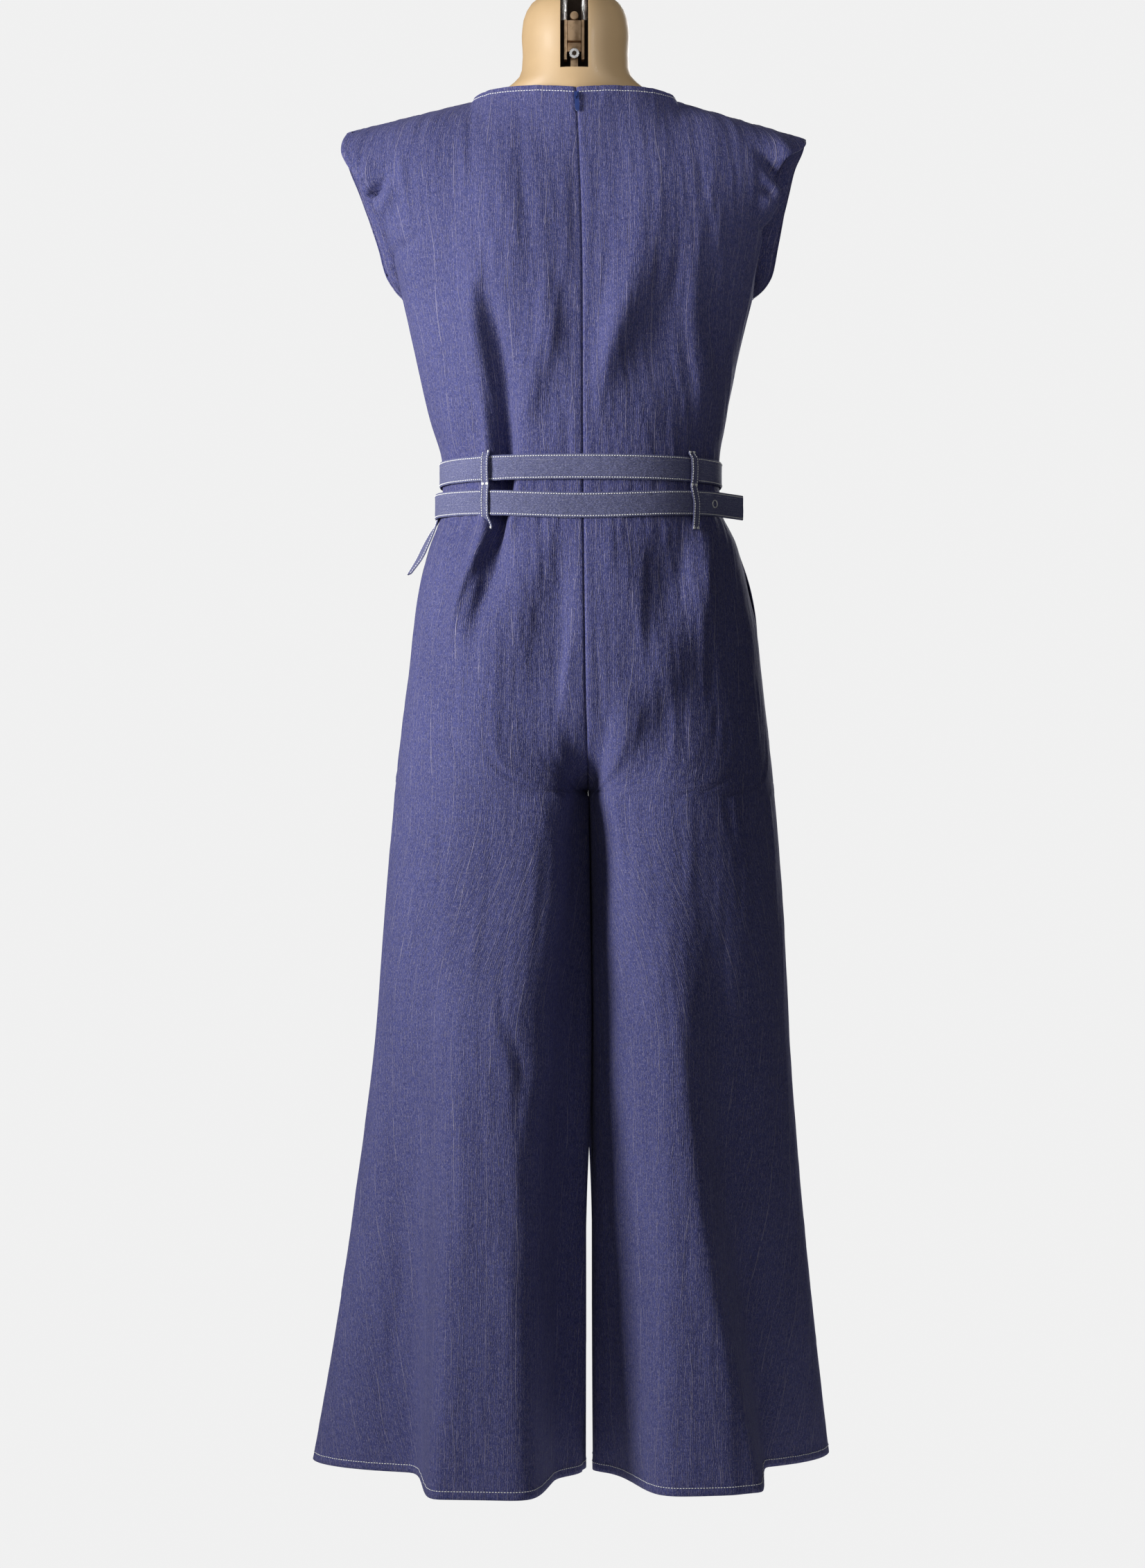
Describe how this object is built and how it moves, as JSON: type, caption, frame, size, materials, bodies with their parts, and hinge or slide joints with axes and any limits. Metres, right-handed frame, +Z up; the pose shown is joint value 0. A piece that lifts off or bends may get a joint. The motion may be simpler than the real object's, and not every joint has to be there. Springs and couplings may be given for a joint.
{
  "type": "jumpsuit on hanging dress form",
  "caption": "Sleeveless crinkled denim jumpsuit with wide legs, a long belt wrapped round the waist and a back zip, filled out on a limbless hanging dress form.",
  "frame": {"origin": "middle of the ring that the dress form hangs by, above the back of its neck", "axes": "+Z up along the body, +X towards the wearer's left, +Y towards the back of the garment"},
  "size_m": [0.556, 0.3497, 1.631],
  "materials": {
    "denim": "crinkled light denim, matte",
    "belt_denim": "denim folded and edge stitched, matte",
    "zip_blue": "painted blue, satin",
    "form_skin": "satin",
    "brass": "dull",
    "steel": "bright"
  },
  "bodies": {
    "jumpsuit": {"back_left": "denim", "back_right": "denim", "front_left": "denim", "front_right": "denim", "pocket_bag_left_front": "denim", "pocket_bag_left_back": "denim", "pocket_bag_right_front": "denim", "pocket_bag_right_back": "denim", "armhole_facing_left": "denim", "armhole_facing_right": "denim", "belt_upper_turn": "belt_denim", "belt_lower_turn": "belt_denim", "belt_tail": "belt_denim", "carrier_left": "belt_denim", "carrier_right": "belt_denim", "belt_eyelet": "steel", "belt_buckle": "steel", "belt_prong": "steel", "zip_tape": "zip_blue", "zip_slider": "zip_blue", "dress_form": "form_skin", "fitting_lug": "brass", "fitting_plate_left": "brass", "fitting_plate_right": "brass", "fitting_block": "brass", "fitting_spacer": "brass", "fitting_knuckle": "brass", "fitting_screw": "steel", "fitting_sleeve_left": "steel", "fitting_sleeve_right": "steel", "fitting_bridge": "steel", "hanging_ring": "steel"},
    "pull_tab": {"zip_pull": "zip_blue"}
  },
  "joints": [
    {"name": "zip_pull_hinge", "type": "hinge", "parent": "jumpsuit", "child": "pull_tab", "pos_m": [-0.00257, 0.03713, -0.17365], "axis": [1, 0, 0], "range_deg": [0, 150]}
  ]
}
